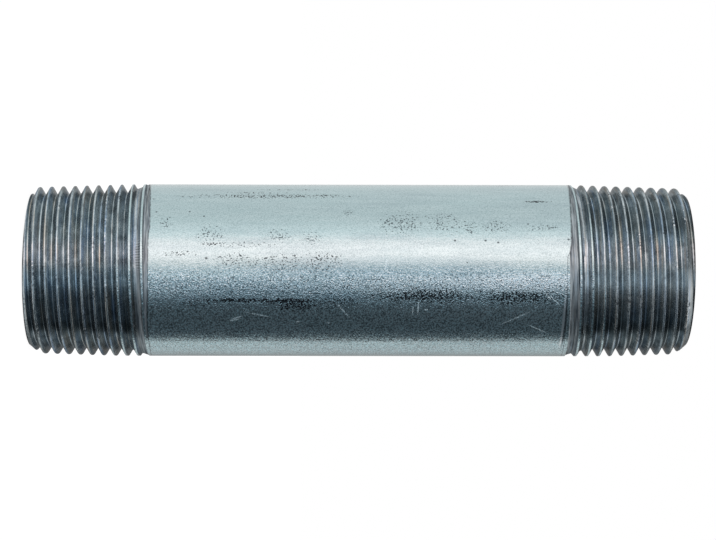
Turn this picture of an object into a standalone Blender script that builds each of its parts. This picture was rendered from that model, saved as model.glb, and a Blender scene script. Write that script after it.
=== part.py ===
"""Pipe nipple: a short length of galvanized steel pipe with a taper pipe thread at each end.

It is one piece. The pipe is nominal 3/4 inch, Schedule 40, cut 4 inches long. Each end is cut
with a right-hand taper thread that runs out into the plain barrel, chamfered outside and
reamed inside. The nipple stands on one end: the pipe's axis is +Z, and the origin is the
middle of the lower end face.
"""

import math

import bmesh
import bpy
from mathutils import Matrix, Vector

INCH = 0.0254

# The pipe that the nipple is cut from
NIPPLE_LENGTH = 4.0 * INCH
PIPE_DIAMETER = 1.050 * INCH
PIPE_WALL = 0.113 * INCH

# The taper pipe thread: 60 degree flanks on a cone that grows by 1 in 16 on the diameter
THREAD_PITCH = INCH / 14.0
DIAMETER_TAPER = 1.0 / 16.0
FLANK_HALF_ANGLE = math.radians(30.0)
CREST_IN_PITCHES = 0.33
ROOT_IN_PITCHES = 0.40
FULL_THREAD_LENGTH = 0.0151
RUN_OUT_LENGTH = 0.0034

# Where the crest leaves the end face, counted in turns from +X
LOWER_THREAD_START = 0.283
UPPER_THREAD_START = 0.470

# The end's outer chamfer and the ream inside its bore
CHAMFER_ANGLE = math.radians(45.0)
CHAMFER_LIP = 0.00014
REAM_SIZE = 0.0004

# The mesh: flats around the pipe, and the shortest step that it keeps along the thread
SEGMENTS = 40
SHORTEST_STEP = 0.00005

# Sizes that follow from those above
PIPE_RADIUS = PIPE_DIAMETER / 2
BORE_RADIUS = PIPE_RADIUS - PIPE_WALL
THREAD_LENGTH = FULL_THREAD_LENGTH + RUN_OUT_LENGTH
RADIUS_TAPER = DIAMETER_TAPER / 2
CREST_HEIGHT = CREST_IN_PITCHES * THREAD_PITCH
ROOT_DEPTH = ROOT_IN_PITCHES * THREAD_PITCH

# The thread standard's rule for the pitch diameter at the small end, with the pipe in inches
END_PITCH_RADIUS = (PIPE_DIAMETER - (0.05 * PIPE_DIAMETER / INCH + 1.1) * THREAD_PITCH) / 2
FACE_RADIUS = END_PITCH_RADIUS - ROOT_DEPTH + CHAMFER_LIP

# Half widths of the crest's flat and the root's flat, in pitches
CREST_FLAT = 0.25 - CREST_IN_PITCHES * math.tan(FLANK_HALF_ANGLE)
ROOT_FLAT = 0.25 - ROOT_IN_PITCHES * math.tan(FLANK_HALF_ANGLE)
THREAD_CORNERS = (-CREST_FLAT, CREST_FLAT, 0.5 - ROOT_FLAT, 0.5 + ROOT_FLAT)


def thread_height(pitches):
    """Height of the thread over its pitch line, this many pitches along from a crest."""
    from_crest = abs((pitches + 0.5) % 1.0 - 0.5)
    flank = (0.25 - from_crest) * THREAD_PITCH / math.tan(FLANK_HALF_ANGLE)
    return max(-ROOT_DEPTH, min(CREST_HEIGHT, flank))


def skin_radius(along, turn, thread_start):
    """Outer radius at this distance from the end face, and at this turn around the pipe."""
    pitch_line = END_PITCH_RADIUS + along * RADIUS_TAPER
    thread = pitch_line + thread_height(along / THREAD_PITCH - turn - thread_start)
    deepest_root = END_PITCH_RADIUS + FULL_THREAD_LENGTH * RADIUS_TAPER - ROOT_DEPTH
    run_out_share = (along - FULL_THREAD_LENGTH) / RUN_OUT_LENGTH
    run_out = deepest_root + run_out_share * (PIPE_RADIUS - deepest_root)
    chamfer = FACE_RADIUS + along * math.tan(CHAMFER_ANGLE)
    return min(max(thread, run_out), chamfer, PIPE_RADIUS)


def kept_on_thread(along):
    """A distance from the end face, held between that face and the plain barrel."""
    if along < SHORTEST_STEP:
        return 0.0
    if along > THREAD_LENGTH - SHORTEST_STEP:
        return THREAD_LENGTH
    return along


def thread_column(bm, turn, thread_start, turns, placement):
    """One column of vertices along the thread, at the corners of its form.

    Corners that lie past the end face or the run-out share the vertex there.
    """
    column = []
    last = None
    for crest in range(-2, turns):
        for corner in THREAD_CORNERS:
            along = kept_on_thread((crest + corner + turn + thread_start) * THREAD_PITCH)
            if along != last:
                radius = skin_radius(along, turn, thread_start)
                angle = 2 * math.pi * turn
                point = (radius * math.cos(angle), radius * math.sin(angle), along)
                vertex = bm.verts.new(placement @ Vector(point))
            column.append(vertex)
            last = along
    return column


def cut_thread(bm, thread_start, placement):
    """The threaded skin of one end. Returns its ring at the end face and its ring at the barrel."""
    turns = math.ceil(THREAD_LENGTH / THREAD_PITCH) + 2
    columns = []
    for segment in range(SEGMENTS):
        turn = segment / SEGMENTS
        columns.append(thread_column(bm, turn, thread_start, turns, placement))
    # After a whole turn the thread has moved on by one pitch, so the last column meets the first
    one_pitch = len(THREAD_CORNERS)
    columns.append(columns[0][one_pitch:] + columns[0][-1:] * one_pitch)
    for left, right in zip(columns, columns[1:]):
        for row in range(len(left) - 1):
            corners = (left[row], right[row], right[row + 1], left[row + 1])
            distinct = list(dict.fromkeys(corners))
            if len(distinct) > 2:
                bm.faces.new(distinct)
    return [column[0] for column in columns[:-1]], [column[-1] for column in columns[:-1]]


def plain_ring(bm, radius, along, placement):
    """A ring of vertices around the pipe's axis, at this distance from the end face."""
    ring = []
    for segment in range(SEGMENTS):
        angle = 2 * math.pi * segment / SEGMENTS
        point = (radius * math.cos(angle), radius * math.sin(angle), along)
        ring.append(bm.verts.new(placement @ Vector(point)))
    return ring


def join_rings(bm, first, second):
    """A band of faces between two rings that run the same way round."""
    for segment in range(SEGMENTS):
        before = segment - 1
        bm.faces.new((first[before], first[segment], second[segment], second[before]))


def other_way_round(ring):
    """The same ring from the same start, counted the other way round the pipe."""
    return [ring[0]] + ring[:0:-1]


def threaded_end(bm, thread_start, placement):
    """One end: thread, chamfer, end face and ream. Returns its rings at the barrel and the bore."""
    face_ring, barrel_ring = cut_thread(bm, thread_start, placement)
    # The ream leaves at least half of the end face's width, however thin the wall is
    ream = min(REAM_SIZE, (FACE_RADIUS - BORE_RADIUS) / 2)
    mouth_ring = plain_ring(bm, BORE_RADIUS + ream, 0.0, placement)
    bore_ring = plain_ring(bm, BORE_RADIUS, ream, placement)
    join_rings(bm, face_ring, mouth_ring)
    join_rings(bm, mouth_ring, bore_ring)
    return barrel_ring, bore_ring


def galvanized_steel():
    """The pipe's zinc coat."""
    material = bpy.data.materials.new("galvanized_steel")
    material.use_nodes = True
    shader = material.node_tree.nodes["Principled BSDF"]
    shader.inputs["Base Color"].default_value = (0.56, 0.61, 0.63, 1.0)
    shader.inputs["Metallic"].default_value = 1.0
    shader.inputs["Roughness"].default_value = 0.35
    return material


def pipe_nipple():
    """The whole nipple: two threads, the barrel between them, the bore and the end faces."""
    bm = bmesh.new()
    upside_down = Matrix.Translation((0, 0, NIPPLE_LENGTH)) @ Matrix.Rotation(math.pi, 4, "X")
    lower_barrel, lower_bore = threaded_end(bm, LOWER_THREAD_START, Matrix.Identity(4))
    upper_barrel, upper_bore = threaded_end(bm, UPPER_THREAD_START, upside_down)
    join_rings(bm, lower_barrel, other_way_round(upper_barrel))
    join_rings(bm, lower_bore, other_way_round(upper_bore))

    bmesh.ops.recalc_face_normals(bm, faces=bm.faces)
    mesh = bpy.data.meshes.new("pipe_nipple")
    bm.to_mesh(mesh)
    bm.free()
    mesh.shade_smooth()
    mesh.set_sharp_from_angle(angle=math.radians(25.0))
    mesh.materials.append(galvanized_steel())
    nipple = bpy.data.objects.new("pipe_nipple", mesh)
    bpy.context.scene.collection.objects.link(nipple)
    return nipple


for leftover in list(bpy.data.objects):
    bpy.data.objects.remove(leftover)
pipe_nipple()
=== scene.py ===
import math
from collections import namedtuple

import bmesh
import bpy
import numpy as np
from mathutils import Matrix, Vector


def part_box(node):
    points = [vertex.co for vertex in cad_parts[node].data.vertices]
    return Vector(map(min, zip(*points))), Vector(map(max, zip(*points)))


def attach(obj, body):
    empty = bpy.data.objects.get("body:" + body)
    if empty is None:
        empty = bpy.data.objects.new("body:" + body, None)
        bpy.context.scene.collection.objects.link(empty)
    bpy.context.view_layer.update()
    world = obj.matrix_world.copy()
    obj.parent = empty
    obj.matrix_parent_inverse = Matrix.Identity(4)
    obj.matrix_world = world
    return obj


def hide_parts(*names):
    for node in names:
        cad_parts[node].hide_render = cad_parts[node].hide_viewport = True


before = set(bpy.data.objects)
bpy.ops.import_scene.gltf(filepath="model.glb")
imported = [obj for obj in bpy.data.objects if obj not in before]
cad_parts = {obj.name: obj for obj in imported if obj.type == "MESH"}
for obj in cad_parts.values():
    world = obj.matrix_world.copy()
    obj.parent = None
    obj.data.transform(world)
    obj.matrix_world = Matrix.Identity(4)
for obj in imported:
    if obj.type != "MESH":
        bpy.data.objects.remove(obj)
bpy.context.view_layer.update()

# The pipe nipple
# A 4 inch length of 3/4 inch galvanized steel pipe, open right through. A die head has cut a
# right-hand taper thread on each end after the galvanizing, so the threads are bare steel.
lowest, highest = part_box("pipe_nipple")
NIPPLE_LENGTH = highest.z - lowest.z
PIPE_RADIUS = (highest.x - lowest.x) / 2
PIPE_WALL = 0.00287
MM_PER_M = 1000.0
BORE_RADIUS = PIPE_RADIUS - PIPE_WALL
REAM = 0.0004

# The taper thread: 14 turns to the inch and 60 degree flanks, on a cone that grows by 1 in 16 on
# the diameter. Its root is a little shallower than its standard's.
THREAD_PITCH = 0.0254 / 14
FLANK_SLOPE = math.tan(math.radians(30))
RADIUS_TAPER = 1 / 32
CREST_HEIGHT = 0.33 * THREAD_PITCH
ROOT_DEPTH = 0.365 * THREAD_PITCH
CREST_ROUND = 0.00012
ROOT_ROUND = 0.00004
END_PITCH_RADIUS = 0.0122895
FULL_THREAD_LENGTH = 0.0151
CHAMFER_SLOPE = 0.86
FACE_RADIUS = 0.011704

# How a thread was cut: where its crest starts, in turns from +X, how far its axis lies off the
# pipe's towards +X, how far its end face leans in at -X, and where the die stopped, in degrees
# from +X and mm from the end face
Cut = namedtuple("Cut", "start offset lean stops")
LOWER_CUT = Cut(start=0.272, offset=0.00004, lean=0.00029, stops=(
    (0, 18.7), (90, 18.4), (182, 18.4), (201, 18.8), (215, 19.05), (238, 19.3), (242, 19.3),
    (245, 19.1), (289, 19.1), (307, 18.83), (338, 18.83), (360, 18.7),
))
UPPER_CUT = Cut(start=0.385, offset=0.00008, lean=0, stops=(
    (0, 19.2), (22, 19.35), (60, 19.5), (99, 19.45), (102, 19.05), (110, 18.86), (145, 18.54),
    (178, 18.2), (270, 18.6), (360, 19.2),
))

# The mesh: flats around the pipe, turns of thread before its ends are trimmed, the shortest step
# that it keeps along the thread, the distance at which vertices merge, and the angle between two
# faces below which they shade as one
SEGMENTS = 192
TURNS = 13
SHORTEST_STEP = 0.00003
MERGE_DISTANCE = 0.000012
SMOOTH_BELOW = math.radians(35)


def rounded_corner(middle, height, radius, degrees):
    """Points of the thread's profile around one of its rounded corners."""
    angles = [math.radians(degree) for degree in degrees]
    return [(middle + radius * math.cos(a), height + radius * math.sin(a)) for a in angles]


def thread_profile():
    """One pitch of the thread, from a crest's middle on to the next root and up again."""
    crest_flat = 0.25 * THREAD_PITCH - CREST_HEIGHT * FLANK_SLOPE
    root_flat = 0.25 * THREAD_PITCH - ROOT_DEPTH * FLANK_SLOPE
    crest_middle = crest_flat - CREST_ROUND * FLANK_SLOPE
    root_middle = THREAD_PITCH / 2 - root_flat + ROOT_ROUND * FLANK_SLOPE
    crest = rounded_corner(crest_middle, CREST_HEIGHT - CREST_ROUND, CREST_ROUND, (90, 70, 50, 30))
    root = rounded_corner(root_middle, ROOT_ROUND - ROOT_DEPTH, ROOT_ROUND, (210, 240, 270))
    top, foot = Vector(crest[-1]), Vector(root[0])
    flank = [tuple(top.lerp(foot, share)) for share in (1 / 3, 2 / 3)]
    half = crest + flank + root
    other_half = [(THREAD_PITCH - along, height) for along, height in reversed(half)]
    return half + other_half


PROFILE = thread_profile()


def skin_radius(along, turn, cut, shoulder):
    """The outer radius at these distances from an end face and turns around the pipe, and how far
    up the thread's form each place lies, from 0 in the root to 1 on the crest."""
    places, heights = zip(*PROFILE)
    past_crest = along - (turn + cut.start) * THREAD_PITCH
    height = np.interp(past_crest, places, heights, period=THREAD_PITCH)
    axis = END_PITCH_RADIUS + cut.offset * np.cos(turn * 2 * np.pi)
    thread = axis + along * RADIUS_TAPER + height
    deepest = axis + FULL_THREAD_LENGTH * RADIUS_TAPER - ROOT_DEPTH
    share = (along - FULL_THREAD_LENGTH) / (shoulder - FULL_THREAD_LENGTH)
    run_out = deepest + share * (PIPE_RADIUS - deepest)
    chamfer = FACE_RADIUS + along * CHAMFER_SLOPE
    radius = np.minimum(np.minimum(np.maximum(thread, run_out), chamfer), PIPE_RADIUS)
    return radius, (height + ROOT_DEPTH) / (CREST_HEIGHT + ROOT_DEPTH)


def wound_profile(name, cut):
    """The profile drawn out edge by edge and wound up the pipe, longer than the thread."""
    bpy.ops.object.select_all(action="DESELECT")
    bpy.ops.mesh.primitive_plane_add(size=THREAD_PITCH, location=(PIPE_RADIUS, 0, 0))
    end = bpy.context.object
    end.name = name
    bpy.ops.object.mode_set(mode="EDIT")
    bpy.ops.mesh.select_all(action="SELECT")
    bpy.ops.mesh.merge(type="CENTER")
    begin = (cut.start - 2) * THREAD_PITCH
    whole_pitch = PROFILE + [(PROFILE[0][0] + THREAD_PITCH, PROFILE[0][1])]
    points = [Vector((END_PITCH_RADIUS + height, 0, begin + along)) for along, height in whole_pitch]
    bpy.ops.transform.translate(value=points[0] - Vector((PIPE_RADIUS, 0, 0)))
    for last, point in zip(points, points[1:]):
        bpy.ops.mesh.extrude_region_move(TRANSFORM_OT_translate={"value": point - last})
    bpy.ops.object.mode_set(mode="OBJECT")
    bpy.ops.object.transform_apply(location=True, rotation=True, scale=True)
    bpy.ops.object.modifier_add(type="SCREW")
    screw = end.modifiers[-1]
    screw.axis = "Z"
    screw.screw_offset = THREAD_PITCH
    screw.iterations = TURNS
    screw.steps = SEGMENTS
    screw.render_steps = SEGMENTS
    screw.use_merge_vertices = False
    bpy.ops.object.modifier_apply(modifier=screw.name)
    return end


def threaded_end(name, cut):
    """The skin of one threaded end, standing on z = 0, from its face up to the plain barrel."""
    end = wound_profile(name, cut)
    count = len(end.data.vertices)
    place = np.empty(count * 3)
    end.data.vertices.foreach_get("co", place)
    x, y, along = place.reshape(count, 3).T
    turn = np.arctan2(y, x) / (2 * np.pi)
    angle = turn * 2 * np.pi
    degrees, stops = zip(*cut.stops)
    shoulder = np.interp(turn * 360, degrees, np.array(stops) / MM_PER_M, period=360)
    face = cut.lean * (1 - np.cos(angle)) / 2
    along = np.where(along < face + SHORTEST_STEP, face, along)
    stopped = along > shoulder - SHORTEST_STEP
    along = np.where(stopped, shoulder, along)
    radius, relief = skin_radius(along, turn, cut, shoulder)
    skin = np.column_stack((radius * np.cos(angle), radius * np.sin(angle), along))
    end.data.vertices.foreach_set("co", skin.ravel())
    for attribute, values in (("relief", relief), ("shoulder", stopped.astype(float))):
        end.data.attributes.new(attribute, "FLOAT", "POINT").data.foreach_set("value", values)
    end.data.update()

    bpy.ops.object.mode_set(mode="EDIT")
    bpy.ops.mesh.select_all(action="SELECT")
    bpy.ops.mesh.remove_doubles(threshold=MERGE_DISTANCE)
    bpy.ops.mesh.select_all(action="DESELECT")
    bpy.ops.mesh.select_non_manifold()
    bpy.ops.mesh.mark_sharp()
    bpy.ops.object.mode_set(mode="OBJECT")
    return end


def tube(name, radius, low, high):
    """An open cylinder between two heights."""
    bpy.ops.object.select_all(action="DESELECT")
    bpy.ops.mesh.primitive_cylinder_add(
        vertices=SEGMENTS, radius=radius, depth=high - low, end_fill_type="NOTHING",
        location=(0, 0, (low + high) / 2),
    )
    piece = bpy.context.object
    piece.name = name
    bpy.ops.object.transform_apply(location=True, rotation=True, scale=True)
    return piece


lower_end = threaded_end("lower_thread", LOWER_CUT)
upper_end = threaded_end("upper_thread", UPPER_CUT)
upper_end.data.transform(Matrix.Translation((0, 0, NIPPLE_LENGTH)) @ Matrix.Rotation(math.pi, 4, "X"))

BARREL_START = 0.0203
barrel = tube("barrel", PIPE_RADIUS, BARREL_START, NIPPLE_LENGTH - BARREL_START)
bore = tube("bore", BORE_RADIUS, REAM, NIPPLE_LENGTH - REAM)
bpy.ops.object.select_all(action="DESELECT")
for part in (barrel, bore, upper_end, lower_end):
    part.select_set(True)
bpy.context.view_layer.objects.active = lower_end
bpy.ops.object.join()
nipple = lower_end
nipple.name = "nipple"

bpy.ops.object.mode_set(mode="EDIT")
bpy.ops.mesh.select_mode(type="EDGE")


def open_rings(low, high, within=2 * PIPE_RADIUS):
    """Selects only the open edges between two heights and within this distance of the axis."""
    bpy.ops.mesh.select_all(action="DESELECT")
    bm = bmesh.from_edit_mesh(nipple.data)
    for edge in bm.edges:
        edge.select_set(edge.is_boundary and all(
            low <= v.co.z <= high and v.co.xy.length < within for v in edge.verts
        ))
    bmesh.update_edit_mesh(nipple.data)


# The shoulders, where the dies stopped, are joined to the barrel
FIRST_SHOULDER, LAST_SHOULDER = FULL_THREAD_LENGTH, BARREL_START + SHORTEST_STEP
for low, high in (
    (FIRST_SHOULDER, LAST_SHOULDER),
    (NIPPLE_LENGTH - LAST_SHOULDER, NIPPLE_LENGTH - FIRST_SHOULDER),
):
    open_rings(low, high)
    bpy.ops.mesh.bridge_edge_loops()

# Each end's mouth is reamed, and its end face closes the skin to it
for face, rim, cut in ((0, REAM, LOWER_CUT), (NIPPLE_LENGTH, NIPPLE_LENGTH - REAM, UPPER_CUT)):
    open_rings(rim - SHORTEST_STEP, rim + SHORTEST_STEP, BORE_RADIUS + REAM)
    bpy.ops.mesh.extrude_edges_move()
    widen = (BORE_RADIUS + REAM) / BORE_RADIUS
    bpy.ops.transform.resize(value=(widen, widen, 1), center_override=(0, 0, rim))
    bpy.ops.transform.translate(value=(0, 0, face - rim))
    lean = math.asin(cut.lean / (2 * PIPE_RADIUS))
    bpy.ops.transform.rotate(value=-lean, orient_axis="Y", center_override=(PIPE_RADIUS, 0, face))
    open_rings(min(face, rim) - SHORTEST_STEP - cut.lean, max(face, rim) + cut.lean)
    bpy.ops.mesh.bridge_edge_loops()
bpy.ops.mesh.select_all(action="SELECT")
bpy.ops.mesh.normals_make_consistent(inside=False)
bpy.ops.object.mode_set(mode="OBJECT")
bpy.ops.object.select_all(action="DESELECT")
nipple.select_set(True)
bpy.context.view_layer.objects.active = nipple
bpy.ops.object.shade_smooth_by_angle(angle=SMOOTH_BELOW)


class Finish:
    """A metal finish, built up node by node."""

    def __init__(self, name):
        self.material = bpy.data.materials.new(name)
        self.material.use_nodes = True
        self.nodes, self.links = self.material.node_tree.nodes, self.material.node_tree.links
        self.shader = self.nodes["Principled BSDF"]
        self.shader.inputs["Metallic"].default_value = 1.0
        self.place = self.nodes.new("ShaderNodeTexCoord").outputs["Object"]
        self.colour = None

    def put(self, socket, value):
        """Gives a socket what another node puts out, or a plain value."""
        if isinstance(value, bpy.types.NodeSocket):
            self.links.new(value, socket)
        else:
            socket.default_value = value

    def reckon(self, operation, *values):
        """One step of arithmetic."""
        node = self.nodes.new("ShaderNodeMath")
        node.operation = operation
        for socket, value in zip(node.inputs, values):
            self.put(socket, value)
        return node.outputs[0]

    def times(self, first, second):
        return self.reckon("MULTIPLY", first, second)

    def larger(self, first, second):
        return self.reckon("MAXIMUM", first, second)

    def parts(self, vector):
        """The three numbers of a vector."""
        node = self.nodes.new("ShaderNodeSeparateXYZ")
        self.links.new(vector, node.inputs[0])
        return node.outputs

    def vector(self, first, second):
        """Two numbers as one vector."""
        node = self.nodes.new("ShaderNodeCombineXYZ")
        self.links.new(first, node.inputs[0])
        self.links.new(second, node.inputs[1])
        return node.outputs[0]

    def scaled(self, vector, scale):
        """A vector with its three numbers multiplied by these three."""
        node = self.nodes.new("ShaderNodeVectorMath")
        node.operation = "MULTIPLY"
        self.links.new(vector, node.inputs[0])
        node.inputs[1].default_value = scale
        return node.outputs[0]

    def noise(self, scale, detail, roughness, distortion=0.0, place=None, squeeze=None):
        """A noise over the object or over another place, squeezed by these three numbers."""
        place = self.place if place is None else place
        node = self.nodes.new("ShaderNodeTexNoise")
        self.links.new(self.scaled(place, squeeze) if squeeze else place, node.inputs["Vector"])
        node.inputs["Scale"].default_value = scale
        node.inputs["Detail"].default_value = detail
        node.inputs["Roughness"].default_value = roughness
        node.inputs["Distortion"].default_value = distortion
        return node.outputs["Fac"]

    def ramp(self, value, start, end, at_start=0.0, at_end=1.0, smooth=False):
        """What a value becomes on the way from its start to its end, held beyond both."""
        node = self.nodes.new("ShaderNodeMapRange")
        node.interpolation_type = "SMOOTHSTEP" if smooth else "LINEAR"
        for socket, entry in zip(node.inputs, (value, start, end, at_start, at_end)):
            self.put(socket, entry)
        return node.outputs["Result"]

    def carried(self, name):
        """A value that the mesh carries."""
        node = self.nodes.new("ShaderNodeAttribute")
        node.attribute_name = name
        return node.outputs["Fac"]

    def unroll(self):
        """Lays the skin flat, in mm: along from the pipe's middle, and around from the middle of
        the side that the camera sees, towards what is up in the photo."""
        x, y, z = self.parts(self.place)
        angle = self.reckon("ARCTAN2", self.times(x, -1.0), self.times(y, -1.0))
        self.along = self.reckon("MULTIPLY_ADD", z, MM_PER_M, -NIPPLE_LENGTH / 2 * MM_PER_M)
        self.around = self.times(angle, PIPE_RADIUS * MM_PER_M)
        self.flat = self.vector(self.along, self.around)

    def patch(self, along, around, length, width, turn=0.0, skin=None):
        """A soft patch on the flat skin: 1 in its middle, 0 at its edge."""
        mapping = self.nodes.new("ShaderNodeMapping")
        mapping.vector_type = "TEXTURE"
        self.links.new(self.flat if skin is None else skin, mapping.inputs["Vector"])
        mapping.inputs["Location"].default_value = (along, around, 0)
        mapping.inputs["Rotation"].default_value = (0, 0, math.radians(turn))
        mapping.inputs["Scale"].default_value = (length / 2, width / 2, 1)
        ball = self.nodes.new("ShaderNodeTexGradient")
        ball.gradient_type = "SPHERICAL"
        self.links.new(mapping.outputs[0], ball.inputs[0])
        return ball.outputs["Fac"]

    def stripe(self, around, inner, outer, share):
        """A soft stripe along the pipe: its whole share up to the inner distance from its middle
        line, and nothing past the outer one."""
        distance = self.reckon("ABSOLUTE", self.reckon("SUBTRACT", self.around, around))
        return self.ramp(distance, inner, outer, share, 0.0, smooth=True)

    def tint(self, share, colour, under=None):
        """Lays a colour over another one, or over what is there so far."""
        node = self.nodes.new("ShaderNodeMix")
        node.data_type = "RGBA"
        self.put(node.inputs["Factor"], share)
        self.put(node.inputs[6], (*under, 1) if under else self.colour)
        self.put(node.inputs[7], (*colour, 1))
        self.colour = node.outputs[2]

    def finish(self, roughness, relief):
        """Gives the shader its colour, its roughness and its bumps, which lie one upon the other,
        each a height and its distance in metres."""
        self.links.new(self.colour, self.shader.inputs["Base Color"])
        self.links.new(roughness, self.shader.inputs["Roughness"])
        normal = None
        for height, distance in relief:
            node = self.nodes.new("ShaderNodeBump")
            node.inputs["Distance"].default_value = distance
            self.links.new(height, node.inputs["Height"])
            if normal is not None:
                self.links.new(normal, node.inputs["Normal"])
            normal = node.outputs["Normal"]
        self.links.new(normal, self.shader.inputs["Normal"])


# The zinc: a bright grainy coat with faint drawn streaks, specks and clusters of small dark pits
zinc = Finish("galvanized_coat")
zinc.unroll()
grain = zinc.noise(scale=5200.0, detail=1.0, roughness=0.6)
ripple = zinc.noise(scale=800.0, detail=1.0, roughness=0.5)
streaks = zinc.noise(scale=1100.0, detail=3.0, roughness=0.6, squeeze=(1.0, 1.0, 0.1))
clouds = zinc.noise(scale=160.0, detail=2.0, roughness=0.5, squeeze=(1.0, 1.0, 0.35))
specks = zinc.noise(scale=5000.0, detail=1.0, roughness=0.6)
powder = zinc.noise(scale=3600.0, detail=2.0, roughness=0.7, squeeze=(1.0, 1.0, 1.2))
CLOUDY_ZINC, CLEAR_ZINC, DRAWN_ZINC = (0.39, 0.50, 0.53), (0.45, 0.59, 0.61), (0.48, 0.61, 0.63)
zinc.tint(zinc.ramp(clouds, 0.3, 0.7), CLEAR_ZINC, under=CLOUDY_ZINC)
zinc.tint(zinc.ramp(streaks, 0.35, 0.7), DRAWN_ZINC)

# Painted highlights lie along the coat in some places and painted shade in others: mm along and
# around, length, width and share
PAINTED_HIGHLIGHT_ZINC, PAINTED_SHADE_ZINC = (0.84, 0.92, 0.93), (0.10, 0.24, 0.34)
PAINTED_HIGHLIGHT_BANDS = (
    (26.0, -1.9, 26.0, 3.6, 0.75), (9.0, -2.1, 30.0, 3.4, 0.34), (24.0, -6.5, 46.0, 5.0, 0.24),
)
PAINTED_SHADE_BANDS = (
    (4.0, 0.4, 54.0, 4.0, 0.20), (-14.0, -4.1, 46.0, 3.0, 0.22),
    (-17.0, -2.3, 46.0, 3.0, 0.14), (-3.0, -4.1, 9.0, 2.8, 0.16),
)
for painted_bands, painted_zinc in ((PAINTED_HIGHLIGHT_BANDS, PAINTED_HIGHLIGHT_ZINC), (PAINTED_SHADE_BANDS, PAINTED_SHADE_ZINC)):
    for along, around, length, width, share in painted_bands:
        painted_patch = zinc.patch(along, around, length, width)
        zinc.tint(zinc.ramp(painted_patch, 0.0, 0.6, 0.0, share), painted_zinc)

# The coat is rougher along one side, where it drained as the pipe left the zinc bath, and the
# grain holds dust there. Painted shade darkens two stripes of it, as dark specks and a soft dark
# band, and its light specks are stronger there as painted glints.
coarse = zinc.stripe(around=-3.3, inner=1.2, outer=4.8, share=1.0)
seam = zinc.stripe(around=-12.2, inner=0.2, outer=1.0, share=0.8)
lower = zinc.stripe(around=-11.0, inner=6.0, outer=8.0, share=0.7)
painted_shade_stripe = zinc.stripe(around=-8.8, inner=2.8, outer=4.0, share=0.9)
painted_shade_band = zinc.stripe(around=-4.8, inner=0.5, outer=1.6, share=0.35)
rough = zinc.larger(coarse, seam)
mottled = zinc.larger(rough, lower)
dark_specks = zinc.times(zinc.ramp(specks, 0.46, 0.35), zinc.reckon("MULTIPLY_ADD", mottled, 0.75, 0.22))
# Light specks, and painted glints where the rougher and lower stripes make them stronger
light_specks_and_glints = zinc.times(zinc.ramp(specks, 0.54, 0.65), zinc.reckon("MULTIPLY_ADD", mottled, 0.75, 0.14))
dust = zinc.times(zinc.ramp(powder, 0.49, 0.66), zinc.times(lower, 1.6))
# Painted shade: dark specks along one stripe of the lower side
painted_shade_specks = zinc.times(zinc.ramp(powder, 0.50, 0.38), painted_shade_stripe)
DARK_SPECK, LIGHT_SPECK_AND_GLINT, DUST = (0.07, 0.10, 0.12), (0.82, 0.91, 0.95), (0.62, 0.88, 0.95)
PAINTED_SHADE_SPECK, PAINTED_SHADE_BAND_TONE = (0.13, 0.19, 0.21), (0.18, 0.25, 0.28)
zinc.tint(dark_specks, DARK_SPECK)
zinc.tint(light_specks_and_glints, LIGHT_SPECK_AND_GLINT)
zinc.tint(zinc.reckon("MINIMUM", dust, 0.9), DUST)
# Painted shade: dark specks and a soft dark band along the lower side
zinc.tint(painted_shade_specks, PAINTED_SHADE_SPECK)
zinc.tint(painted_shade_band, PAINTED_SHADE_BAND_TONE)

# Clusters of small dark pits, where the zinc has dross in it: mm along and around, length, width
pits = zinc.noise(scale=5200.0, detail=0.0, roughness=0.5, distortion=0.4, squeeze=(1.0, 1.0, 0.8))
PIT_CLUSTERS = (
    (-22.4, 5.6, 5.6, 3.8), (-12.1, 5.5, 5.4, 3.0), (-7.3, 5.1, 4.0, 3.2), (-1.6, 9.5, 2.4, 1.8),
    (6.4, 7.6, 9.6, 5.2), (12.9, 7.6, 7.6, 4.8), (16.7, 6.9, 3.4, 3.4), (20.6, 6.9, 6.0, 3.2),
    (-18.0, 1.4, 10.6, 3.4), (-11.4, 1.3, 10.0, 4.0), (-5.6, 1.2, 9.0, 4.8), (27.5, 6.8, 7.0, 1.8),
    (-27.0, 2.5, 7.0, 1.2), (-18.0, 3.9, 14.0, 1.2), (-29.0, 7.6, 2.6, 2.4), (22.6, 18.6, 2.6, 2.4),
)
clustered = 0.0
for along, around, length, width in PIT_CLUSTERS:
    clustered = zinc.larger(clustered, zinc.patch(along, around, length, width))

# On the side that the photo doesn't show, clusters like these lie where they may
scattered = zinc.noise(scale=150.0, detail=3.0, roughness=0.6, squeeze=(1.0, 1.0, 0.6))
behind = zinc.ramp(zinc.reckon("ABSOLUTE", zinc.around), 19.0, 23.0)
scattered = zinc.times(zinc.ramp(scattered, 0.56, 0.72), behind)
clustered = zinc.ramp(zinc.larger(clustered, scattered), 0.0, 0.55)
pitted = zinc.ramp(zinc.reckon("MULTIPLY_ADD", clustered, 0.18, pits), 0.78, 0.86)
pitted = zinc.times(pitted, zinc.ramp(clustered, 0.0, 0.2))

# Single pits: mm along and around, and size
SINGLE_PITS = (
    (-25.7, 2.8, 0.5), (-22.9, 1.8, 0.7), (14.4, 4.6, 0.6), (19.0, 4.6, 0.6), (20.9, 4.3, 0.6),
    (25.5, 7.4, 0.5), (31.5, 4.8, 0.6), (-25.6, 9.65, 0.5), (-23.4, 8.75, 0.5), (16.2, 1.2, 0.4),
    (-30.6, 9.6, 0.5), (-31.2, 12.6, 0.5),
)
for along, around, size in SINGLE_PITS:
    pit = zinc.patch(along, around, size * 0.8, size * 0.65)
    pitted = zinc.larger(pitted, zinc.ramp(pit, 0.0, 0.5, 0.0, 0.9))
PIT = (0.07, 0.09, 0.10)
zinc.tint(pitted, PIT)

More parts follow.
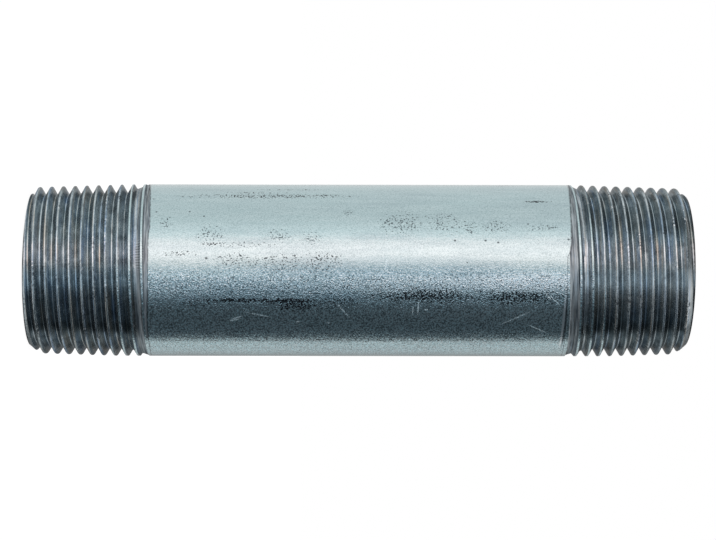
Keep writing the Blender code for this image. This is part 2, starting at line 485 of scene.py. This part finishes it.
# A rough black line along the lower side, which wanders a little, and faint rows of small dashes:
# mm along and around, length, width and strength
wander = zinc.noise(scale=700.0, detail=3.0, roughness=0.6, squeeze=(0.0, 0.0, 1.0))
wandering = zinc.reckon("MULTIPLY_ADD", wander, 1.0, zinc.reckon("SUBTRACT", zinc.around, 0.5))
wandering_skin = zinc.vector(zinc.along, wandering)
BLACK_LINES = (
    (-18.4, -4.6, 15.0, 0.9, 0.36), (-11.0, -4.7, 14.0, 1.0, 0.40), (-9.4, -5.5, 8.4, 2.6, 0.27),
    (-4.0, -5.0, 9.0, 2.2, 0.18), (0.0, -12.2, 90.0, 1.2, 0.15), (10.0, -3.9, 22.0, 3.0, 0.275),
    (24.0, -4.0, 18.0, 3.0, 0.28), (-24.0, -4.9, 7.0, 1.6, 0.19),
)
ROWS_OF_DASHES = (
    (-13.6, 13.5, 32.0, 1.7, 0.185), (-5.2, 13.7, 6.0, 1.1, 0.26), (-10.0, 15.8, 14.0, 0.6, 0.20),
    (-16.0, 14.6, 12.0, 0.7, 0.17), (-22.0, 4.0, 4.4, 0.6, 0.30), (27.1, 12.1, 5.6, 0.6, 0.31),
)
lined = 0.0
for marks, skin in ((BLACK_LINES, wandering_skin), (ROWS_OF_DASHES, zinc.flat)):
    for along, around, length, width, strength in marks:
        line = zinc.patch(along, around, length, width, skin=skin)
        lined = zinc.larger(lined, zinc.times(zinc.ramp(line, 0.0, 0.7), strength))
broken = zinc.ramp(zinc.reckon("ADD", lined, pits), 0.72, 0.80)
BLACK_LINE = (0.03, 0.035, 0.04)
zinc.tint(zinc.times(broken, zinc.ramp(lined, 0.0, 0.04)), BLACK_LINE)

# A line that the die has scored round the barrel, beside the upper thread, with a bright edge
SCORED_DARK, SCORED_BRIGHT = (0.08, 0.09, 0.10), (0.92, 0.98, 1.0)
scored = zinc.patch(along=31.2, around=-8.6, length=0.42, width=14.0, turn=-1.5)
edge = zinc.patch(along=30.9, around=-8.6, length=0.44, width=14.0, turn=-1.5)
zinc.tint(zinc.ramp(scored, 0.0, 0.4, 0.0, 0.7), SCORED_DARK)
zinc.tint(zinc.ramp(edge, 0.05, 0.4, 0.0, 0.85), SCORED_BRIGHT)

# A thin dark burr, where the die has torn the zinc's edge
BURR = (0.07, 0.08, 0.09)
beside_thread = zinc.ramp(zinc.carried("shoulder"), 0.86, 0.96)
zinc.tint(zinc.times(beside_thread, zinc.ramp(streaks, 0.38, 0.54, 0.3, 0.9)), BURR)

# Light scratches, where something has rubbed the coat: mm along and around, length, and degrees
SCRATCHES = (
    (-18.4, -7.55, 3.12, 20), (-18.7, -7.95, 2.6, 14), (-15.2, -7.0, 5.72, -13),
    (23.6, -7.6, 7.28, 28), (29.4, -4.5, 3.38, -47), (28.4, -3.9, 2.08, -47), (8.9, -5.9, 3.38, 88),
    (8.1, -6.3, 2.34, 88), (-9.2, -8.3, 0.78, 0), (-4.6, -8.5, 0.78, 0), (10.1, -6.1, 0.78, 0),
    (-2.6, -6.0, 3.12, -50), (-1.9, -6.9, 2.34, -50), (27.0, -9.6, 4.42, -30),
    (-13.0, -1.6, 3.38, -40), (4.0, 0.8, 2.34, 80), (14.0, -1.6, 3.9, -38), (19.4, -1.2, 3.12, 84),
)
SCRATCH_WIDTH = 0.30
SCRATCH = (0.80, 0.96, 1.0)
scratched = 0.0
for along, around, length, turn in SCRATCHES:
    scratched = zinc.larger(scratched, zinc.patch(along, around, length, SCRATCH_WIDTH, turn))
scratched = zinc.times(zinc.ramp(scratched, 0.1, 0.5), zinc.ramp(specks, 0.30, 0.48))
zinc.tint(zinc.times(scratched, 0.7), SCRATCH)

STREAK_BUMP, RIPPLE_BUMP, GRAIN_BUMP = 0.000012, 0.00002, 0.000085
zinc.finish(
    roughness=zinc.reckon("MULTIPLY_ADD", scratched, 0.35, zinc.ramp(ripple, 0.3, 0.7, 0.15, 0.21)),
    relief=(
        (streaks, STREAK_BUMP),
        (ripple, RIPPLE_BUMP),
        (zinc.times(grain, zinc.reckon("MULTIPLY_ADD", rough, 0.75, 0.25)), GRAIN_BUMP),
    ),
)

# The cut thread: bare steel with the die's fine marks, which run round as the thread does
LINES_PER_MM = 3.9
LINE_DRIFT_PER_MM = 0.06
steel = Finish("cut_thread")
steel.unroll()
helix = steel.reckon("MULTIPLY_ADD", steel.around, THREAD_PITCH / (2 * math.pi * PIPE_RADIUS), steel.along)
cutting = steel.vector(steel.times(helix, LINES_PER_MM), steel.times(steel.around, LINE_DRIFT_PER_MM))
lines = steel.noise(scale=1.0, detail=3.0, roughness=0.65, place=cutting)
tints = steel.noise(scale=1.0, detail=1.0, roughness=0.5, place=cutting, squeeze=(0.8, 1.5, 1.0))
torn = steel.noise(scale=1.0, detail=3.0, roughness=0.7, place=cutting, squeeze=(0.5, 8.0, 1.0))
tool_marks = steel.noise(scale=1.0, detail=2.0, roughness=0.6, place=cutting, squeeze=(0.95, 3.0, 1.0))
stains = steel.noise(scale=260.0, detail=2.0, roughness=0.5)
nicks = steel.noise(scale=2400.0, detail=1.0, roughness=0.5)
grit = steel.noise(scale=3200.0, detail=2.0, roughness=0.6)
DARK_STEEL, LIGHT_STEEL = (0.21, 0.28, 0.30), (0.66, 0.75, 0.79)
BROWN_STEEL, BLUE_STEEL = (0.51, 0.43, 0.34), (0.25, 0.38, 0.55)
steel.tint(steel.ramp(lines, 0.34, 0.66), LIGHT_STEEL, under=DARK_STEEL)
steel.tint(steel.ramp(tints, 0.56, 0.67, 0.0, 0.6), BROWN_STEEL)
steel.tint(steel.ramp(tints, 0.46, 0.34, 0.0, 0.7), BLUE_STEEL)

# Painted shade on the flank that faces the pipe's middle, and a painted highlight on the one that faces the
# pipe's end
PAINTED_SHADE_FLANK, PAINTED_HIGHLIGHT_FLANK = (0.10, 0.13, 0.15), (0.66, 0.72, 0.75)
height = steel.carried("relief")
flank = steel.times(steel.ramp(height, 0.06, 0.14), steel.ramp(height, 0.97, 0.88))
facing = steel.parts(steel.nodes.new("ShaderNodeNewGeometry").outputs["Normal"])
outward = steel.ramp(steel.times(facing[2], steel.along), -8.0, 8.0)
steel.tint(steel.times(steel.ramp(outward, 0.5, 0.0, 0.0, 0.42), flank), PAINTED_SHADE_FLANK)
steel.tint(steel.times(steel.ramp(outward, 0.5, 1.0, 0.0, 0.5), flank), PAINTED_HIGHLIGHT_FLANK)

# The die's oil has stained the steel, which is torn and gritty in places
OIL_STAIN = (0.20, 0.23, 0.25)
TORN_DARK, TORN_LIGHT = (0.14, 0.17, 0.19), (0.74, 0.80, 0.82)
GRIT_DARK, GRIT_LIGHT = (0.10, 0.11, 0.13), (0.8, 0.84, 0.86)
steel.tint(steel.ramp(stains, 0.52, 0.70, 0.0, 0.45), OIL_STAIN)
steel.tint(steel.ramp(torn, 0.48, 0.36, 0.0, 0.5), TORN_DARK)
steel.tint(steel.ramp(torn, 0.56, 0.68, 0.0, 0.5), TORN_LIGHT)
steel.tint(steel.ramp(grit, 0.60, 0.74, 0.0, 0.25), GRIT_LIGHT)
steel.tint(steel.ramp(grit, 0.40, 0.26, 0.0, 0.3), GRIT_DARK)

# A band of painted highlight lies along one side of the upper thread, with painted shade beside it.
# Painted shade lies along the lower side of both threads too.
PAINTED_HIGHLIGHT_STEEL, PAINTED_SHADE_STEEL = (0.84, 0.84, 0.82), (0.05, 0.06, 0.06)
painted_highlight_strip = steel.patch(along=42.0, around=-3.4, length=60.0, width=10.0)
painted_shade_upper = steel.patch(along=42.0, around=9.4, length=60.0, width=8.0)
painted_shade_lower_side = steel.patch(along=0.0, around=-10.8, length=240.0, width=4.0)
# Painted highlight and painted shade
steel.tint(steel.ramp(painted_highlight_strip, 0.0, 0.7, 0.0, 0.28), PAINTED_HIGHLIGHT_STEEL)
steel.tint(steel.larger(
    steel.ramp(painted_shade_upper, 0.0, 0.6, 0.0, 0.24), steel.ramp(painted_shade_lower_side, 0.0, 0.6, 0.0, 0.42)
), PAINTED_SHADE_STEEL)

# Dark nicks and bright burrs here and there along the crests
NICK, BRIGHT_BURR = (0.05, 0.06, 0.07), (0.95, 0.98, 1.0)
nicked = steel.times(steel.ramp(height, 0.6, 0.8), steel.ramp(stains, 0.50, 0.62, 0.12, 1.0))
steel.tint(steel.times(steel.ramp(nicks, 0.57, 0.65, 0.0, 0.8), nicked), NICK)
steel.tint(steel.times(steel.ramp(nicks, 0.38, 0.32, 0.0, 0.6), nicked), BRIGHT_BURR)

# Past the last root the die's mouth has left a duller band with its own marks, and a dark line
# where the zinc begins
BAND_STEEL, MARK_DARK, MARK_LIGHT = (0.24, 0.28, 0.30), (0.10, 0.12, 0.14), (0.50, 0.57, 0.60)
ZINC_EDGE = (0.05, 0.06, 0.07)
from_middle = steel.reckon("ABSOLUTE", steel.along)
from_end = steel.reckon("SUBTRACT", NIPPLE_LENGTH / 2 * MM_PER_M, from_middle)
band = steel.ramp(from_end, 16.9, 17.6, smooth=True)
steel.tint(steel.times(band, 0.6), BAND_STEEL)
steel.tint(steel.times(steel.ramp(tool_marks, 0.49, 0.36, 0.0, 0.9), band), MARK_DARK)
steel.tint(steel.times(steel.ramp(tool_marks, 0.53, 0.64, 0.0, 0.8), band), MARK_LIGHT)
steel.tint(steel.ramp(steel.carried("shoulder"), 0.2, 0.85, 0.0, 0.85), ZINC_EDGE)

# The die chattered for a moment before it stopped on the lower end
CHATTER_DARK, CHATTER_LIGHT = (0.08, 0.09, 0.1), (0.6, 0.70, 0.74)
CHATTER_RADIANS_PER_MM = 15.0
chattered = steel.ramp(steel.patch(along=-33.0, around=2.4, length=1.6, width=6.4), 0.0, 0.4)
chatter = steel.times(steel.reckon("SINE", steel.times(steel.around, CHATTER_RADIANS_PER_MM)), chattered)
steel.tint(steel.ramp(chatter, 0.2, 0.8, 0.0, 0.4), CHATTER_LIGHT)
steel.tint(steel.ramp(chatter, -0.2, -0.8, 0.0, 0.5), CHATTER_DARK)

# Painted shade darkens the chamfer, and black scale clings to the sawn rim in places
PAINTED_SHADE_CHAMFER, BLACK_SCALE = (0.16, 0.20, 0.21), (0.03, 0.03, 0.03)
scaly = steel.reckon("MULTIPLY_ADD", grit, 0.25, steel.reckon("SUBTRACT", from_end, 0.125))
rim = steel.times(steel.ramp(scaly, 0.28, 0.16, 0.0, 0.9), steel.ramp(stains, 0.38, 0.50, 0.55, 1.0))
# Painted shade on the chamfer
steel.tint(steel.ramp(from_end, 1.0, 0.6, 0.0, 0.25), PAINTED_SHADE_CHAMFER)
steel.tint(rim, BLACK_SCALE)

LINE_BUMP, GRIT_BUMP = 0.000016, 0.000006
EDGE_SHINE = (0.45, 0.45, 0.45, 1)
steel.shader.inputs["Specular Tint"].default_value = EDGE_SHINE
steel.finish(
    roughness=steel.reckon("MULTIPLY_ADD", band, 0.18, steel.ramp(grit, 0.3, 0.7, 0.20, 0.28)),
    relief=((lines, LINE_BUMP), (grit, GRIT_BUMP)),
)

# The end faces and the reamed mouth: bare steel, turned, with rings around the bore
RINGS_PER_M = 7000.0
RING_DRIFT_PER_M = 60.0
RING_BUMP = 0.00001
RING_DARK, RING_LIGHT, FACE_STAIN = (0.36, 0.39, 0.41), (0.62, 0.65, 0.67), (0.22, 0.20, 0.19)
turned = Finish("turned_end")
from_axis = turned.nodes.new("ShaderNodeVectorMath")
from_axis.operation = "LENGTH"
turned.links.new(turned.scaled(turned.place, (1.0, 1.0, 0.0)), from_axis.inputs[0])
drift = turned.scaled(turned.place, (RING_DRIFT_PER_M,) * 3)
ring_place = turned.vector(turned.times(from_axis.outputs["Value"], RINGS_PER_M), drift)
rings = turned.noise(scale=1.0, detail=2.0, roughness=0.6, place=ring_place)
stain = turned.noise(scale=500.0, detail=3.0, roughness=0.6)
turned.tint(turned.ramp(rings, 0.3, 0.7), RING_LIGHT, under=RING_DARK)
turned.tint(turned.ramp(stain, 0.54, 0.72, 0.0, 0.5), FACE_STAIN)
turned.finish(roughness=turned.ramp(stain, 0.3, 0.7, 0.26, 0.42), relief=((rings, RING_BUMP),))

# The bore: the zinc coat is duller and rougher inside, with runs along it
RUN_BUMP, LUMP_BUMP = 0.00003, 0.00004
RUN_DARK, RUN_LIGHT, LUMP = (0.36, 0.42, 0.44), (0.52, 0.60, 0.62), (0.62, 0.66, 0.66)
inside = Finish("bore_coat")
runs = inside.noise(scale=700.0, detail=3.0, roughness=0.6, squeeze=(1.0, 1.0, 0.08))
lumps = inside.noise(scale=900.0, detail=3.0, roughness=0.6)
inside.tint(inside.ramp(runs, 0.3, 0.7), RUN_LIGHT, under=RUN_DARK)
inside.tint(inside.ramp(lumps, 0.56, 0.72, 0.0, 0.6), LUMP)
inside.finish(
    roughness=inside.ramp(lumps, 0.3, 0.7, 0.34, 0.5), relief=((runs, RUN_BUMP), (lumps, LUMP_BUMP))
)

# Each face gets its finish by how far it lies from the pipe's axis
FINISHES = (zinc, steel, turned, inside)
BORE_TOLERANCE = 0.00002
BARREL_TOLERANCE = 0.000006
nipple.data.materials.clear()
for finish in FINISHES:
    nipple.data.materials.append(finish.material)
for face in nipple.data.polygons:
    nearest = min(nipple.data.vertices[v].co.xy.length for v in face.vertices)
    if face.center.xy.length < BORE_RADIUS + BORE_TOLERANCE:
        finish = inside
    elif nearest < BORE_RADIUS + REAM + BORE_TOLERANCE:
        finish = turned
    elif nearest > PIPE_RADIUS - BARREL_TOLERANCE:
        finish = zinc
    else:
        finish = steel
    face.material_index = FINISHES.index(finish)

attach(nipple, "root")
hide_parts("pipe_nipple")

# The studio
# A pale floor that the nipple stands on, a white room, and three cards that only the bright metal
# mirrors. None of it is part of the object.
FLOOR_RADIUS = 3
FLOOR_PAINT = (0.9, 0.9, 0.9, 1)
FLOOR_GLOW = 1.1
FLOOR_GLOW_SHARE = 0.85
ROOM_LIGHT = (0.95, 0.97, 1, 1)
ROOM_STRENGTH = 0.9
WHITE = (1, 1, 1, 1)


def emptied(owner, output):
    """Clears the nodes of a material or the world but for its output. Returns its nodes, its links
    and the output's socket."""
    owner.use_nodes = True
    nodes, links = owner.node_tree.nodes, owner.node_tree.links
    nodes.clear()
    return nodes, links, nodes.new(output).inputs["Surface"]


bpy.ops.mesh.primitive_circle_add(vertices=64, radius=FLOOR_RADIUS, fill_type="NGON", location=(0, 0, 0))
floor = bpy.context.object
floor.name = "floor"
floor.visible_glossy = False
floor.visible_shadow = False
paint = bpy.data.materials.new("pale_floor")
nodes, links, surface = emptied(paint, "ShaderNodeOutputMaterial")
matt = nodes.new("ShaderNodeBsdfDiffuse")
matt.inputs["Color"].default_value = FLOOR_PAINT
glow = nodes.new("ShaderNodeEmission")
glow.inputs["Strength"].default_value = FLOOR_GLOW
mix = nodes.new("ShaderNodeMixShader")
mix.inputs["Fac"].default_value = FLOOR_GLOW_SHARE
links.new(matt.outputs["BSDF"], mix.inputs[1])
links.new(glow.outputs["Emission"], mix.inputs[2])
links.new(mix.outputs["Shader"], surface)
floor.data.materials.append(paint)

# The room is white where the camera, a mirror or glass sees it, and a little dimmer as light
world = bpy.data.worlds.new("white_room")
bpy.context.scene.world = world
nodes, links, surface = emptied(world, "ShaderNodeOutputWorld")
rays = nodes.new("ShaderNodeLightPath")
seen = rays.outputs["Is Camera Ray"]
for ray in ("Is Glossy Ray", "Is Transmission Ray"):
    either = nodes.new("ShaderNodeMath")
    either.operation = "MAXIMUM"
    links.new(seen, either.inputs[0])
    links.new(rays.outputs[ray], either.inputs[1])
    seen = either.outputs[0]
mix = nodes.new("ShaderNodeMixShader")
links.new(seen, mix.inputs["Fac"])
for socket, light, strength in ((mix.inputs[1], ROOM_LIGHT, ROOM_STRENGTH), (mix.inputs[2], WHITE, 1)):
    background = nodes.new("ShaderNodeBackground")
    background.inputs["Color"].default_value = light
    background.inputs["Strength"].default_value = strength
    links.new(background.outputs[0], socket)
links.new(mix.outputs[0], surface)


def reflected_card(name, places, levels):
    """A glowing card that only the metal sees: a row of four-cornered faces, each on the last two
    places and the next two. Each place has its own level."""
    bpy.ops.mesh.primitive_plane_add(size=1)
    card = bpy.context.object
    card.name = name
    faces = [(i, i + 2, i + 3, i + 1) for i in range(0, len(places) - 2, 2)]
    mesh = bpy.data.meshes.new(name)
    mesh.from_pydata(places, [], faces)
    card.data = mesh
    colours = mesh.color_attributes.new("level", "FLOAT_COLOR", "POINT")
    for entry, level in zip(colours.data, levels):
        entry.color = (*level, 1)
    card.visible_camera = False
    card.visible_diffuse = False
    card.visible_shadow = False
    paint = bpy.data.materials.new(name)
    nodes, links, surface = emptied(paint, "ShaderNodeOutputMaterial")
    glow = nodes.new("ShaderNodeEmission")
    level = nodes.new("ShaderNodeVertexColor")
    level.layer_name = "level"
    links.new(level.outputs["Color"], glow.inputs["Color"])
    links.new(glow.outputs["Emission"], surface)
    mesh.materials.append(paint)


# A curved card stands all round: degrees from the camera's side, up in the photo being 90, the
# level there, and its tint. A softbox faces the upper half and a dark floor the lower half.
WARM, PLAIN, COOL = (1.17, 1, 0.98), (1, 1, 1), (0.85, 1, 1.14)
SURROUNDINGS = (
    (-178, 0.38, PLAIN), (-158, 0.38, PLAIN), (-138, 0.58, PLAIN), (-120, 0.63, PLAIN), (-105, 0.60, PLAIN),
    (-100, 0.10, COOL), (-75, 0.09, COOL), (-53, 0.10, COOL), (-35, 0.15, COOL),
    (-28, 0.26, COOL), (-20, 0.74, COOL), (-13, 0.80, COOL), (-3, 0.68, COOL), (5, 0.86, PLAIN),
    (12, 1.26, WARM), (20, 1.52, WARM), (30, 1.56, WARM), (38, 1.34, WARM), (47, 1.18, PLAIN),
    (60, 1.0, PLAIN), (75, 0.88, PLAIN), (120, 0.90, PLAIN), (142, 0.86, PLAIN), (166, 0.82, PLAIN),
    (180, 0.75, PLAIN),
)
CARD_DISTANCE, CARD_LOW, CARD_HIGH = 0.5, -0.6, 0.7
places, levels = [], []
for degrees, level, tint in SURROUNDINGS:
    angle = math.radians(degrees)
    for height in (CARD_LOW, CARD_HIGH):
        places.append((-math.sin(angle) * CARD_DISTANCE, -math.cos(angle) * CARD_DISTANCE, height))
        levels.append([level * share for share in tint])
reflected_card("standing_card", places, levels)

# A card under the nipple and one over it, darker on the side that is up in the photo
CARD_REACH = 0.55
DARK_UNTIL, LIGHT_FROM = -0.05, 0.1
DARK_LEVEL, LIGHT_LEVEL = (0.25, 0.25, 0.25), (0.8, 0.8, 0.8)
for name, height in (("lying_card", CARD_LOW), ("hanging_card", CARD_HIGH)):
    steps = (-CARD_REACH, DARK_UNTIL, LIGHT_FROM, CARD_REACH)
    places = [(x, y, height) for x in steps for y in (-CARD_REACH, CARD_REACH)]
    reflected_card(name, places, [DARK_LEVEL] * 4 + [LIGHT_LEVEL] * 4)

# The camera
# It looks at the nipple's middle from the front, turned a quarter so that the nipple lies
# across the picture with its lower end at the left.
CAMERA_DISTANCE = 0.345
CAMERA_SINK = math.radians(0.7)
CAMERA_ROLL = math.radians(0.09)
FOCAL_PIXELS = 2214.0
PICTURE_WIDTH_PIXELS = 716
SENSOR_WIDTH_MM = 36
AIM_ABOVE_AXIS = 0.00006
AIM_LEFT_OF_MIDDLE = 0.00001
aim = Vector((-AIM_ABOVE_AXIS, 0, NIPPLE_LENGTH / 2 - AIM_LEFT_OF_MIDDLE))
forward = Vector((0, math.cos(CAMERA_SINK), math.sin(CAMERA_SINK)))
right = forward.cross(Vector((-math.cos(CAMERA_ROLL), 0, -math.sin(CAMERA_ROLL)))).normalized()
up = right.cross(forward)
camera = bpy.data.objects.new("camera", bpy.data.cameras.new("camera"))
bpy.context.scene.collection.objects.link(camera)
orientation = Matrix((right, up, -forward)).transposed().to_4x4()
camera.matrix_world = Matrix.Translation(aim - forward * CAMERA_DISTANCE) @ orientation
camera.data.sensor_width = SENSOR_WIDTH_MM
camera.data.lens = SENSOR_WIDTH_MM * FOCAL_PIXELS / PICTURE_WIDTH_PIXELS
bpy.context.scene.camera = camera

bpy.context.scene.view_settings.view_transform = "Standard"
